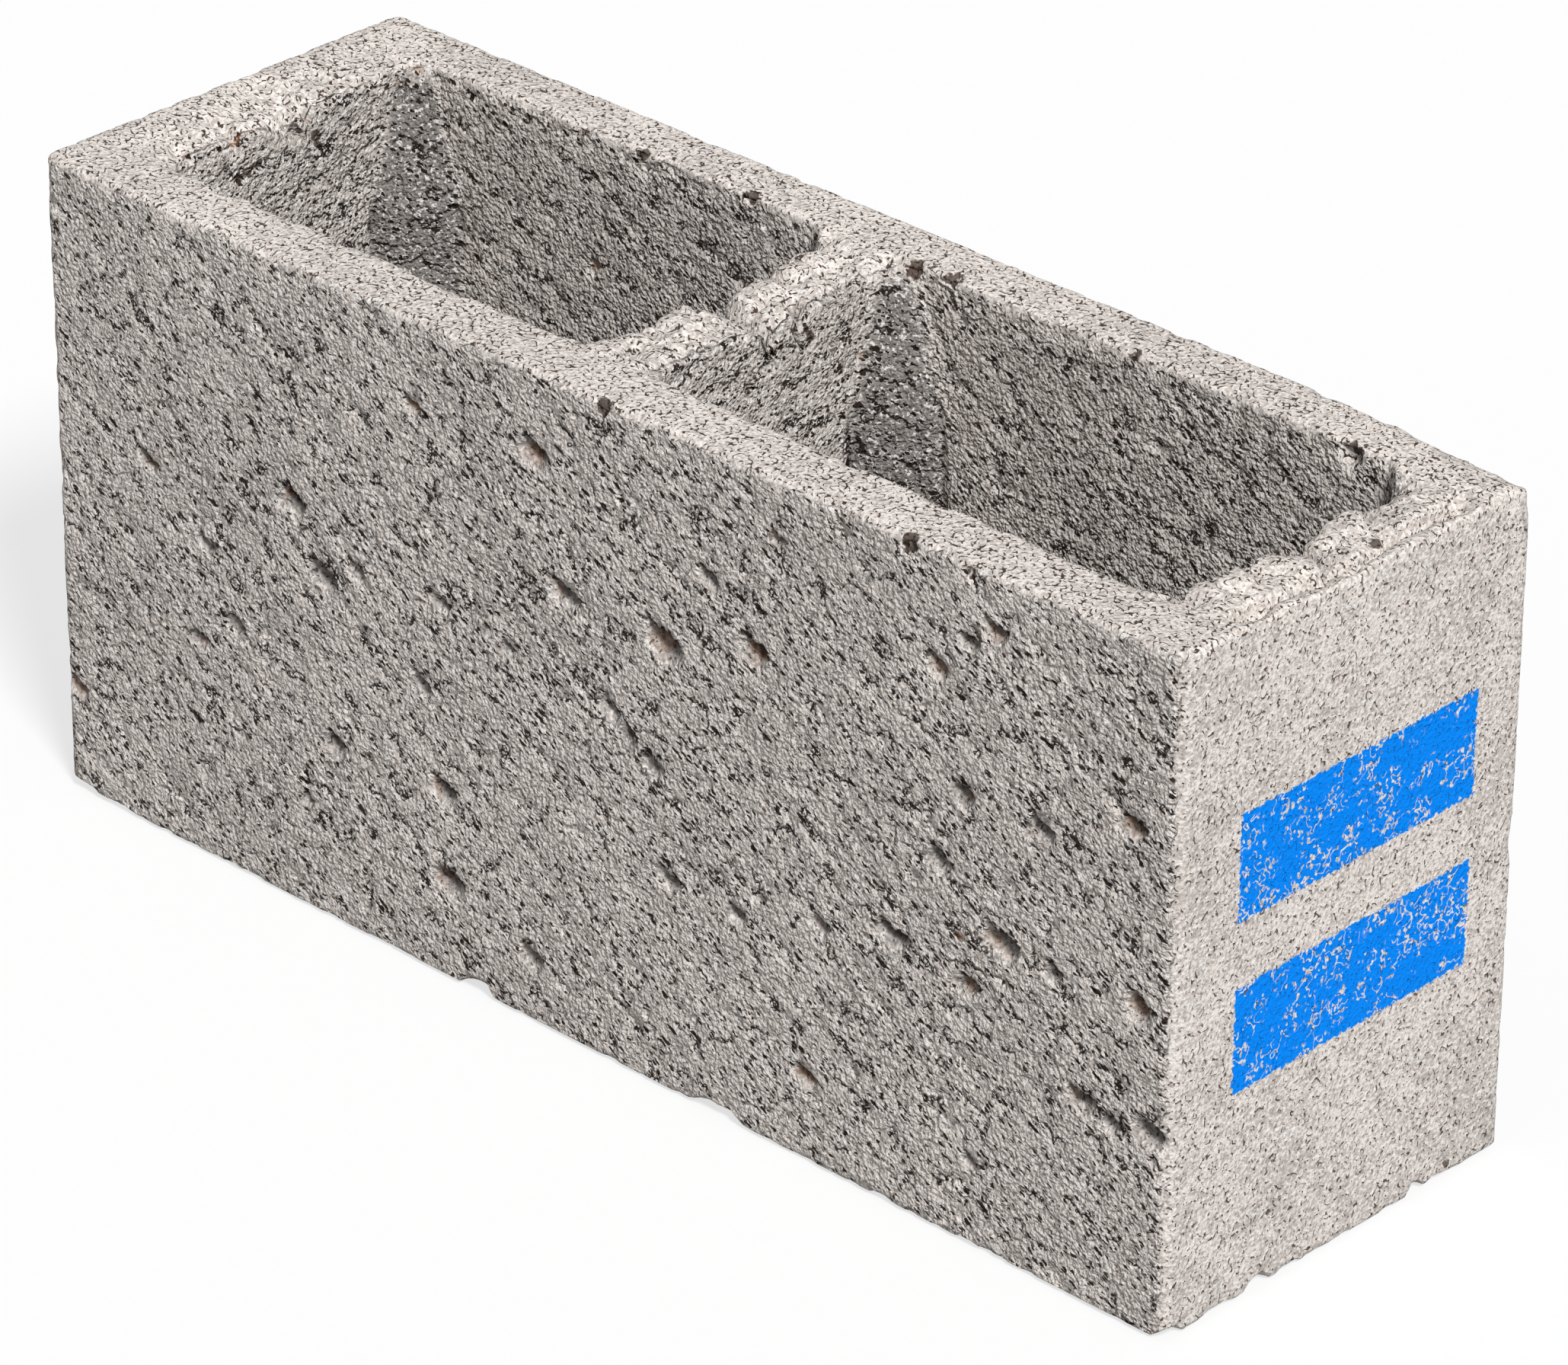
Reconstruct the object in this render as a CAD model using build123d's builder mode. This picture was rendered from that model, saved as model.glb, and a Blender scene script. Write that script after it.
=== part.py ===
import math
import os

from build123d import *

# Millimetres. X runs along the block, Y across it, Z up.
# The origin is the middle of the bottom face.

# Outside of the block
block_length = 400.0
block_width = 130.0
block_height = 190.0
standing_corner_radius = 4.0
top_edge_radius = 2.0
bottom_edge_radius = 1.2

# Walls round the two cells, measured at the top face
front_shell = 20.0
back_shell = 18.5
left_end_wall = 26.0
right_end_wall = 25.0
middle_web = 23.0
middle_web_offset = -7.5

# Cells: each narrows a little towards the bottom. Its corners are nearly square at the top,
# and a facet widens across them down to the shoulder, then hardly changes
cell_draft = 1.6
facet_top = 5.0
facet_shoulder = 17.0
facet_bottom = 18.5
shoulder_depth = 38.0
left_crease_radius = 3.0
right_crease_radius = 8.0
crease_share = 0.97  # most of a facet that its two rounded creases may take up
cell_rim_radius = 1.5

# Trough that the mould's core bar leaves in the top of the web and the inner side of the end walls
trough_centre_y = 1.0
trough_depth = 6.0
trough_half_width = 9.0
trough_round = 3.0
trough_run = 15.0
trough_end_depth = 0.6
dish_depth = 1.6

# Larger hollows of the front face, where stones came away: place along, height, radius, depth
front_hollows = (
    (-105.0, 121.5, 5.0, 1.7), (-93.5, 103.5, 6.0, 2.4), (-193.0, 33.0, 4.2, 2.0),
    (-14.5, 167.5, 6.0, 2.1), (-50.0, 57.5, 5.0, 1.7), (-5.0, 131.5, 5.0, 2.1),
    (30.5, 131.0, 7.0, 2.4), (61.0, 140.5, 5.0, 1.7), (141.0, 175.0, 4.2, 2.0),
    (157.0, 127.5, 5.0, 2.1), (145.5, 91.5, 6.0, 2.4), (109.0, 78.5, 5.0, 1.7),
    (186.5, 92.5, 5.0, 2.4), (185.0, 140.0, 4.2, 2.0), (-48.5, 30.5, 6.0, 2.1),
    (171.0, 58.5, 5.0, 2.1), (191.0, 58.5, 5.0, 2.4),
)

# Crooked crevice along the top of the right end wall: its middle line, X at each Y
crevice_line = ((191.8, -40.0), (193.6, -24.0), (192.2, -8.0), (193.8, 8.0), (192.4, 26.0), (193.6, 44.0))
crevice_half_width = 1.4
crevice_depth = 3.8

# Rough hollow on top of the left end wall
left_hollow_x = -188.0
left_hollow_y = 3.0
left_hollow_radius = 8.5
left_hollow_depth = 2.0

# Far back corner of the top, worn down to one sloping plane
worn_start = 118.0
worn_depth = 4.0
worn_reach = 9.0

half_length = block_length / 2
half_width = block_width / 2
shoulder_height = block_height - shoulder_depth

# Cell edges at the top face
cell_front = -half_width + front_shell
cell_back = half_width - back_shell
cell_depth = cell_back - cell_front
cell_mid_y = (cell_back + cell_front) / 2
web_left = middle_web_offset - middle_web / 2
web_right = middle_web_offset + middle_web / 2
left_cell = (-half_length + left_end_wall, web_left, left_crease_radius)
right_cell = (web_right, half_length - right_end_wall, right_crease_radius)


def cell_section(height, length, depth, facet, crease_radius, mid_x, mid_y):
    """One level of a cell: a rectangle with its corners cut off and the creases rounded."""
    x, y = length / 2, depth / 2
    widest = crease_share * facet * math.sqrt(2) / 2 / math.tan(math.radians(22.5))
    with BuildSketch(Plane((mid_x, mid_y, height))) as section:
        Polygon(
            (-x + facet, -y), (x - facet, -y), (x, -y + facet), (x, y - facet),
            (x - facet, y), (-x + facet, y), (-x, y - facet), (-x, -y + facet),
            align=None,
        )
        fillet(section.vertices(), min(crease_radius, widest))
    return section.sketch


def cell_core(start, end, crease_radius):
    """The hollow of one cell as a solid, from the bottom face to the top face."""
    length, mid_x = end - start, (start + end) / 2
    levels = (
        (0.0, cell_draft, facet_bottom),
        (shoulder_height, cell_draft * shoulder_depth / block_height, facet_shoulder),
        (block_height, 0.0, facet_top),
    )
    with BuildPart() as core:
        for height, draft, facet in levels:
            size = length - 2 * draft, cell_depth - 2 * draft
            add(cell_section(height, *size, facet, crease_radius, mid_x, cell_mid_y))
        loft(ruled=True)
    return core.part


def trough_cutter(*levels):
    """What the trough takes out, given places along the block and its depth at each."""
    above = block_height + cell_rim_radius
    with BuildPart() as cutter:
        for x, depth in levels:
            dish = dish_depth * depth / trough_depth
            with BuildSketch(Plane.YZ.offset(x)):
                Polygon(
                    (cell_front, above),
                    (cell_front, block_height),
                    (trough_centre_y - trough_half_width, block_height - dish),
                    (trough_centre_y, block_height - depth),
                    (trough_centre_y + trough_half_width, block_height - dish),
                    (cell_back, block_height),
                    (cell_back, above),
                    align=None,
                )
        loft(ruled=True)
        along = [e for e in cutter.edges() if abs(e.tangent_at(0.5).X) > 0.9]
        fillet(sorted(along, key=lambda e: e.center().Z)[0], trough_round)
    return cutter.part


def dimple_radius(radius, depth):
    """Radius of the ball that leaves a hollow of this radius and depth in a flat face."""
    return (radius**2 + depth**2) / (2 * depth)


with BuildPart() as hollow_balls:
    # Lying on its side, so that no pole of the ball touches the block
    ball = dimple_radius(left_hollow_radius, left_hollow_depth)
    ball_height = block_height - left_hollow_depth + ball
    with Locations(Location((left_hollow_x, left_hollow_y, ball_height), (90, 0, 0))):
        Sphere(ball)
    for x, z, radius, depth in front_hollows:
        ball = dimple_radius(radius, depth)
        with Locations((x, -half_width + depth - ball, z)):
            Sphere(ball)

with BuildPart() as block_body:
    # Outer body with its standing corners rounded
    with BuildSketch():
        RectangleRounded(block_length, block_width, standing_corner_radius)
    extrude(amount=block_height)
    fillet(block_body.faces().sort_by(Axis.Z)[-1].edges(), top_edge_radius)
    fillet(block_body.faces().sort_by(Axis.Z)[0].edges(), bottom_edge_radius)

    # Worn back corner
    edge_start = Vector(worn_start, half_width, block_height)
    to_end = Vector(half_length - worn_start, 0, -worn_depth)
    to_top = Vector(half_length - worn_start, -worn_reach, 0)
    split(bisect_by=Plane(edge_start, x_dir=to_end, z_dir=to_end.cross(to_top)), keep=Keep.TOP)

    # The two cells, through from top to bottom
    for cell in (left_cell, right_cell):
        add(cell_core(*cell), mode=Mode.SUBTRACT)
    rims = block_body.faces().sort_by(Axis.Z)[-1].inner_wires()
    fillet([edge for rim in rims for edge in rim.edges()], cell_rim_radius)

    # Trough across the web, running out on the tops of the two end walls
    past_rim = 2 * cell_rim_radius
    left_run = (left_cell[0] + past_rim, trough_depth), (left_cell[0] - trough_run, trough_end_depth)
    web_run = (web_left - past_rim, trough_depth), (web_right + past_rim, trough_depth)
    right_run = (right_cell[1] - past_rim, trough_depth), (right_cell[1] + trough_run, trough_end_depth)
    for run in (left_run, web_run, right_run):
        add(trough_cutter(*run), mode=Mode.SUBTRACT)

    # Crevice and hollows
    with BuildSketch(Plane.XY.offset(block_height)):
        left_side = [(x - crevice_half_width, y) for x, y in crevice_line]
        right_side = [(x + crevice_half_width, y) for x, y in reversed(crevice_line)]
        Polygon(*left_side, *right_side, align=None)
    extrude(amount=-crevice_depth, mode=Mode.SUBTRACT)
    add(hollow_balls.part, mode=Mode.SUBTRACT)

block_body.part.label = "block_body"

os.makedirs("parts", exist_ok=True)
export_step(block_body.part, "parts/block_body.step")
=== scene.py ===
import bpy
import bmesh
import math
import numpy as np
from mathutils import Matrix, Vector
from mathutils.bvhtree import BVHTree


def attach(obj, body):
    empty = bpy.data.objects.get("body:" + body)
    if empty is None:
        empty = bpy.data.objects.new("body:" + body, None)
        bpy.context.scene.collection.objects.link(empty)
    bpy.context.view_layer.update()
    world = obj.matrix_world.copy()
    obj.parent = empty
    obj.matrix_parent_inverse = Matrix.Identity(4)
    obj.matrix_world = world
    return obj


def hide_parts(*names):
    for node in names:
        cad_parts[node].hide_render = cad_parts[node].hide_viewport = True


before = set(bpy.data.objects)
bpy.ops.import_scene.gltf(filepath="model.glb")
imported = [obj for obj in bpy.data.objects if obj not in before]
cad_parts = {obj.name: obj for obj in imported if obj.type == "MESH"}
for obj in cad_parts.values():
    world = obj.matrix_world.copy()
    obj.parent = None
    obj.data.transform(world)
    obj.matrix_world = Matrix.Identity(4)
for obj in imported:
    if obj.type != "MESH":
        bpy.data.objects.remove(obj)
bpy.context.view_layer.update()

# The block's own sizes in mm, as the frame's box and the cells give them
block = {
    "halfLength": 200.0, "halfWidth": 65.0, "height": 190.0,
    "cellFront": -45.0, "cellBack": 46.5, "facet": 17.0,
    "leftCell": (-174.0, -19.0), "rightCell": (4.0, 175.0),
}


# Random patterns on points, all sizes in mm


def cellRandom(cell, seed):
    # one random number from 0 to 1 for each whole-number cell
    c = cell.astype(np.int64).astype(np.uint32)
    h = c[:, 0] * np.uint32(2654435761) ^ c[:, 1] * np.uint32(2246822519)
    h = h ^ c[:, 2] * np.uint32(3266489917)
    h = h ^ np.uint32(seed * 668265263 % 4294967296)
    h ^= h >> np.uint32(15)
    h *= np.uint32(739982445)
    h ^= h >> np.uint32(12)
    h *= np.uint32(695872825)
    h ^= h >> np.uint32(15)
    return h.astype(np.float64) / 4294967296.0


def softNoise(points, size, seed):
    # smooth noise from -1 to 1, with lumps about this size
    q = points / size + seed * 7.31
    base = np.floor(q)
    f = q - base
    f = f * f * f * (f * (f * 6 - 15) + 10)
    total = np.zeros(len(points))
    for dx in (0, 1):
        for dy in (0, 1):
            for dz in (0, 1):
                weight = (f[:, 0] if dx else 1 - f[:, 0]) * (f[:, 1] if dy else 1 - f[:, 1])
                weight = weight * (f[:, 2] if dz else 1 - f[:, 2])
                total += weight * cellRandom(base + (dx, dy, dz), seed)
    return total * 2 - 1


def roughNoise(points, size, seed, octaves=3):
    total, weight, norm = np.zeros(len(points)), 1.0, 0.0
    for k in range(octaves):
        total += weight * softNoise(points, size / 2 ** k, seed + 31 * k)
        norm += weight
        weight *= 0.55
    return total / norm


def scatter(points, size, seed):
    # distance in mm to the nearest of scattered centres, and that centre's own random number
    q = points / size
    base = np.floor(q)
    first = np.full(len(points), 9.0)
    number = np.zeros(len(points))
    for dx in (-1, 0, 1):
        for dy in (-1, 0, 1):
            for dz in (-1, 0, 1):
                cell = base + (dx, dy, dz)
                centre = cell + np.stack([cellRandom(cell, seed + k) for k in (1, 2, 3)], 1)
                d = np.linalg.norm(q - centre, axis=1)
                number = np.where(d < first, cellRandom(cell, seed + 4), number)
                first = np.minimum(first, d)
    return first * size, number


def ramp(x, low, high):
    t = np.clip((x - low) / (high - low), 0, 1)
    return t * t * (3 - 2 * t)


def wander(points, size, amount, seed):
    # the same points pushed about, so that patterns on them run crooked
    push = np.stack([softNoise(points, size, seed + k) for k in (0, 1, 2)], 1)
    return points + push * amount


# The cast block's rough skin
skin = {
    "voxel": 0.00112,   # m, the remeshed grid
    "triangles": 197000,
    "base": 0.35,           # mm, how far the plain skin lies below the solid
    "grain": 0.07,          # mm, finest lumps that the mesh holds
    "lumps": 0.15,          # mm
    "plates": 0.42,         # mm, steps that the mould drags into the open faces
    "plateSpacing": 9.5,
    "drag": (0.38, 0.10, 0.92),     # the broad steps climb this way
    "streak": (0.87, 0.0, -0.49),   # the short gaps run this way
    "crack": 0.7,           # mm, short crooked crevices
    "edgeChip": 0.9,        # mm
    "bigChip": 2.4,         # mm
    "crumble": 1.9,         # mm, loose lumps on the tops of the web and the end walls
}

# Hollows of the front long face, where a stone came away: x, z, radius, depth in mm
frontPits = [
    (-162, 112, 5, 2.5), (-106, 120, 6, 2.5), (-140, 96, 4, 2.5), (-95, 102, 7, 3.5), (-82, 108, 4, 2),
    (-130, 75, 4, 2), (-144, 66, 4, 2), (-194, 32, 5, 3), (-50, 111, 4, 2), (-59, 84, 5, 2.5),
    (-26, 107, 4, 2), (-60, 164, 4, 2), (-16, 166, 7, 3), (-103, 33, 3, 2), (-92, 54, 5, 2),
    (-51, 56, 6, 2.5), (-6, 130, 6, 3), (29, 129, 8, 3.5), (68, 173, 4, 2), (45, 153, 4, 2),
    (60, 139, 6, 2.5), (10, 104, 5, 2.5), (25, 93, 5, 2.5), (122, 158, 5, 2.5), (132, 168, 4, 2),
    (140, 174, 5, 3), (156, 126, 6, 3), (130, 126, 5, 2.5), (123, 105, 5, 2.5), (144, 90, 7, 3.5),
    (161, 89, 4, 2.5), (108, 77, 6, 2.5), (188, 91, 6, 3.5), (185, 139, 5, 3), (133, 74, 5, 2.5),
    (-50, 29, 7, 3), (-19, 19, 5, 2.5), (31, 63, 5, 2.5), (55, 62, 4, 2.5), (84, 71, 4, 2.5),
    (79, 25, 4, 2), (170, 57, 6, 3), (180, 55, 4, 2.5), (193, 57, 6, 3.5), (135, 24, 4, 2),
]

# Small holes in rims, walls and edges, painted dark brown inside as shade: x, y, z, radius, depth in mm
smallHoles = [
    (-169, 43, 189, 3.4, 2.6), (-88, 47.5, 189, 2.4, 1.8), (-49, 47.5, 189.5, 2.8, 2.0),
    (10, 47, 188, 3.2, 2.4), (22, 48, 189.5, 3.0, 2.0), (84, 47.5, 189.5, 2.2, 1.6),
    (156, 46, 187, 4.0, 3.0), (168, 42, 186, 3.0, 2.5), (9, -64, 188, 2.6, 2.2),
    (112, -64, 188, 2.8, 2.2), (132, -64.5, 187, 2.0, 1.6), (-174, -17, 175, 2.0, 2.2),
    (-174, -11, 177, 1.6, 2.0), (-174, 1.6, 184, 2.4, 2.8), (-174, 4, 181, 1.8, 2.4),
    (-174, 10, 179, 1.8, 2.4), (-174, 11, 175, 1.6, 2.0), (-174, 20, 168, 1.6, 1.6),
    (4, 0, 182.5, 2.2, 4.2), (4, 1.0, 178.5, 1.8, 3.6), (4, 11, 183, 2.2, 2.8), (4, 15, 178, 1.6, 2.2),
    (4, 23, 172, 1.7, 2.2), (4, 34, 162, 1.8, 2.2), (4, -7, 171, 1.6, 2.0), (4, -13, 175, 1.4, 1.8),
    (4, -2, 175, 1.8, 2.2), (195, -12, 187, 1.7, 3.2), (190.5, 15, 187, 1.9, 3.4),
    (194, 30, 187, 1.8, 3.0), (186, -28, 189, 1.3, 1.6), (200, -26, 20.5, 1.6, 1.4),
    (200, 43, 4, 1.6, 1.6),
]

# Clefts across the tops of the web and the end walls: from x, y to x, y, half width and depth in mm
clefts = [
    (-22, 4.0, -9, 2.5, 3.2, 4.0), (-9, 2.5, 6, 0.5, 2.8, 3.6), (-22, 22.5, -10, 19.5, 2.6, 3.2),
    (-22, -27, -11, -24, 2.6, 2.6), (-5, -22, 6, -14, 2.2, 2.2), (-4, 15, 6, 11, 2.6, 3.4),
    (-12, -34, -2, -39, 2.2, 1.6), (-8, 31, 5, 27, 2.2, 1.8), (-21, 39, -12, 41, 2.0, 1.6),
    (171, 1.5, 182, 1.0, 3.2, 3.8), (182, 1.0, 193, -2, 2.6, 3.2), (171, 24, 182, 26, 2.2, 2.0),
    (171, -30, 184, -29, 2.4, 1.4), (184, -29, 193, -22, 1.8, 1.6), (182, 26, 193, 20, 1.8, 1.8),
    (-171, -20, -183, -17, 2.4, 2.2), (-171, 9, -184, 6, 2.6, 2.8), (-171, 27, -180, 25, 2.2, 1.8),
    (-171, -34, -179, -36, 2.0, 1.6),
]

# Bites out of the bottom edges: which face, place along it, half width and height in mm
bottomBites = [
    ("front", -200, 16, 2.4), ("front", -180, 12, 1.0), ("front", -39, 8, 3.7), ("front", 48, 12, 2.7),
    ("front", 105, 4, 1.1), ("front", 135, 5, 1.0), ("end", -61, 5, 2.8), ("end", -45, 8, 1.0),
    ("end", -29, 5, 3.2), ("end", -18, 6, 1.2), ("end", 2, 7, 0.6), ("end", 31, 4, 3.2),
    ("end", 40, 6, 1.2), ("end", 60, 6, 0.6), ("back", -150, 10, 2.0), ("back", -60, 14, 2.6),
    ("back", 35, 6, 1.6), ("back", 120, 12, 3.0), ("farEnd", -30, 9, 2.2), ("farEnd", 25, 7, 1.4),
]


def wallDistance(x, y, cell):
    # how far outside (+) or inside (-) the straight walls of one cell a point lies
    midX, halfX = sum(cell) / 2, (cell[1] - cell[0]) / 2
    midY = (block["cellFront"] + block["cellBack"]) / 2
    halfY = (block["cellBack"] - block["cellFront"]) / 2
    return np.maximum(np.abs(x - midX) - halfX, np.abs(y - midY) - halfY)


def nearestCell(x, y):
    return np.minimum(wallDistance(x, y, block["leftCell"]), wallDistance(x, y, block["rightCell"]))


def insideCells(x, y, margin):
    # points in the cells or in the walls within this margin of them
    inside = np.zeros(len(x), bool)
    inDepth = (y > block["cellFront"] - margin) & (y < block["cellBack"] + margin)
    for start, end in (block["leftCell"], block["rightCell"]):
        inside |= (x > start - margin) & (x < end + margin) & inDepth
    return inside


def faceShares(p, n):
    # how much each point belongs to each kind of face; n is the plain solid's normal there
    x, y, z = p[:, 0], p[:, 1], p[:, 2]
    top = ramp(n[:, 2], 0.45, 0.8) * (z > 176)
    return {
        "top": top,
        "under": ramp(-n[:, 2], 0.45, 0.8),
        "front": ramp(-n[:, 1], 0.5, 0.9) * (y < -58),
        "back": ramp(n[:, 1], 0.5, 0.9) * (y > 58),
        "end": ramp(n[:, 0], 0.5, 0.9) * (x > 192),
        "farEnd": ramp(-n[:, 0], 0.5, 0.9) * (x < -192),
        "cell": (nearestCell(x, y) < 3.5) * (1 - top) * (1 - ramp(-n[:, 2], 0.5, 0.9)),
    }


pitWander = (3.6, 1.3, 61)   # size and reach in mm of the crook in a pit's edge, and its seed
pitTurn = (0.41, 0.91)       # the way across a pit's edge, along the block and up


def pitPlace(u, w):
    # across the pit's edge, towards the upper right, and along it
    return pitTurn[0] * u + pitTurn[1] * w, pitTurn[1] * u - pitTurn[0] * w


def frontPitDepth(p, facing):
    # deepens slowly towards the upper right and ends there at a steep ragged edge
    depth = np.zeros(len(p))
    near = facing > 0.5
    crooked = wander(p[near], *pitWander)
    part = np.zeros(near.sum())
    for x, z, radius, deep in frontPits:
        across, along = pitPlace((crooked[:, 0] - x) / radius, (crooked[:, 2] - z) / radius)
        scoop = ramp(across, -0.7, 0.35) * (1 - ramp(across, 0.40, 0.55))
        scoop = scoop * (1 - ramp(np.abs(along), 0.3, 0.95))
        part = np.maximum(part, deep * scoop)
    depth[near] = part
    return depth


def scatteredPits(p, size, share, radius, deep, seed):
    # the same kind of hollow, scattered: share is how many of the places hold one
    crooked = wander(p, 3.0, 0.9, seed + 9)
    near, number = scatter(crooked, size, seed)
    r = near / (radius * (0.6 + 0.8 * (number / share)))
    return np.where(number < share, deep * (1 - ramp(r, 0.45, 1.0)), 0)


def holeDepth(p):
    # the small holes, deepest in their middle; the material paints dark brown shade in them
    crooked = wander(p, 2.6, 0.8, 65)
    depth = np.zeros(len(p))
    for x, y, z, radius, deep in smallHoles:
        near = np.flatnonzero(np.abs(p - (x, y, z)).max(axis=1) < radius * 1.8 + 1.5)
        r = np.linalg.norm(crooked[near] - (x, y, z), axis=1) / radius
        depth[near] = np.maximum(depth[near], deep * (1 - ramp(r, 0.55, 1.1)))
    return depth


def nearestOffset(p, places):
    # offset from the nearest of these places, in its own radii, and 1 on the points close to it
    reach = 3.0   # mm past the edge
    offset = np.zeros((len(p), 3))
    nearest = np.full(len(p), np.inf)
    close = np.zeros(len(p))
    for x, y, z, radius in places:
        away = (p - (x, y, z)) / radius
        r = np.linalg.norm(away, axis=1)
        closer = r < nearest
        nearest[closer] = r[closer]
        offset[closer] = away[closer]
        close[closer] = r[closer] < 1 + reach / radius
    return offset, close


def plateSteps(p, spacing, seed):
    # 0 to 1: a surface that slopes gently down towards the upper right and then steps back up
    along = p @ np.array(skin["drag"]) / spacing
    along = along + 1.5 * softNoise(p, spacing * 1.5, seed) + 0.6 * softNoise(p, spacing * 0.7, seed + 1)
    f = along - np.floor(along)
    return np.minimum(f / 0.86, (1 - f) / 0.14)


def crookedLines(p, size, width, seed):
    # thin winding lines, 1 on the line; width in mm
    return 1 - ramp(np.abs(roughNoise(p, size, seed, 2)), 0, width * 1.3 / size)


def onFrontPlane(p):
    # points of the long front face, hollows in the solid among them
    toTopOrBottom = np.minimum(p[:, 2], block["height"] - p[:, 2])
    inward = np.minimum(block["halfLength"] - np.abs(p[:, 0]), toTopOrBottom)
    return (p[:, 1] < -60) & (inward > 4)


def skinDepth(p, n):
    # how far the skin lies below the plain solid at each point, in mm
    x, y, z = p[:, 0], p[:, 1], p[:, 2]
    share = faceShares(p, n)
    share["front"] = np.where(onFrontPlane(p), 1.0, share["front"])
    openFace = np.maximum.reduce([share["front"], share["back"], share["cell"], 0.4 * share["farEnd"]])
    acrossWall = share["cell"] * ramp(np.abs(n[:, 0]), 0.8, 0.95)
    coarse = (0.25 + 0.75 * openFace) * (1 - 0.45 * acrossWall)

    depth = skin["base"] + skin["lumps"] * 0.6 * roughNoise(p, 30, 3, 2)
    depth += skin["lumps"] * coarse * roughNoise(p, 7, 5, 2)
    depth += skin["grain"] * (0.4 + 0.6 * coarse) * softNoise(p, 2.5, 8)

    # plates and crevices, shown in patches
    patch = ramp(softNoise(p, 17, 11), -0.35, 0.5) * (1 - 0.55 * share["cell"]) * (1 - 0.6 * acrossWall)
    depth += skin["plates"] * openFace * patch * plateSteps(p, skin["plateSpacing"], 20)
    patch = ramp(softNoise(p, 8, 12), 0.05, 0.4)
    depth += skin["crack"] * coarse * patch * crookedLines(p, 8, 0.8, 40)

    # hollows
    depth = np.maximum(depth, frontPitDepth(p, share["front"]) + 0.4)
    rough = np.maximum.reduce([share["back"], share["cell"] - 0.7 * acrossWall, 0.7 * share["farEnd"]])
    depth += scatteredPits(p, 26, 0.22, 3.2, 1.9, 70) * rough
    depth += scatteredPits(p, 11, 0.16, 1.6, 1.3, 80) * openFace
    depth = np.maximum(depth, holeDepth(p))
    depth += 1.3 * creaseShares(p) * share["cell"]

    # outer edges: distance from the edge, measured as the second nearest outer plane
    planes = np.stack([block["halfLength"] - np.abs(x), block["halfWidth"] - np.abs(y),
                       np.minimum(z, block["height"] - z)], 1)
    planes.sort(axis=1)
    edge = np.where(planes[:, 0] < 3, planes[:, 1], 99.0)
    bite = np.clip(roughNoise(p, 5, 90, 2) - 0.05, 0, 1)
    depth += skin["edgeChip"] * bite * (1 - ramp(edge, 0.5, 3.0))
    bite = np.clip(roughNoise(p, 15, 93, 2) - 0.42, 0, 1)
    depth += skin["bigChip"] * bite * (1 - ramp(edge, 1.0, 6.0))
    rim = 1 - ramp(np.abs(nearestCell(x, y)) + 0.6 * np.abs(block["height"] - 1 - z), 1.0, 4.5)
    bite = np.clip(roughNoise(p, 6, 98, 2) + 0.1, 0, 1)
    depth += 1.5 * bite * rim
    return depth


def facetWidth(z):
    # how far a cell's corner facet reaches along the walls at each height
    return np.where(z < 152, block["facet"], block["facet"] - 12 * (z - 152) / 38)


def drawIn(z):
    # how far the cell's walls have come in below the top
    return 1.6 * (block["height"] - z) / block["height"]


def creaseShares(p):
    # 1 on the cracked lower parts of the cells' corner creases
    x, y, z = p.T
    facet, draw = facetWidth(z), drawIn(z)
    crooked = 0.7 * softNoise(p, 5, 190)
    line = np.zeros(len(p))
    for start, end in (block["leftCell"], block["rightCell"]):
        for cornerX, sideX in ((start, 1), (end, -1)):
            for cornerY, sideY in ((block["cellFront"], 1), (block["cellBack"], -1)):
                u = (x - cornerX) * sideX - draw
                v = (y - cornerY) * sideY - draw
                onSide = np.where(v < 2.5, np.abs(u - facet + crooked), 9)
                onFront = np.where(u < 2.5, np.abs(v - facet + crooked), 9)
                line = np.maximum(line, 1 - ramp(np.minimum(onSide, onFront), 0.4, 1.5))
    shown = ramp(softNoise(p * (0.2, 0.2, 1), 12, 191), -0.45, 0.0) * (1 - ramp(z, 138, 158))
    return line * shown


def segmentDistance(x, y, x0, y0, x1, y1):
    u, v = x1 - x0, y1 - y0
    t = np.clip(((x - x0) * u + (y - y0) * v) / (u * u + v * v), 0, 1)
    return np.hypot(x - x0 - t * u, y - y0 - t * v)


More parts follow.
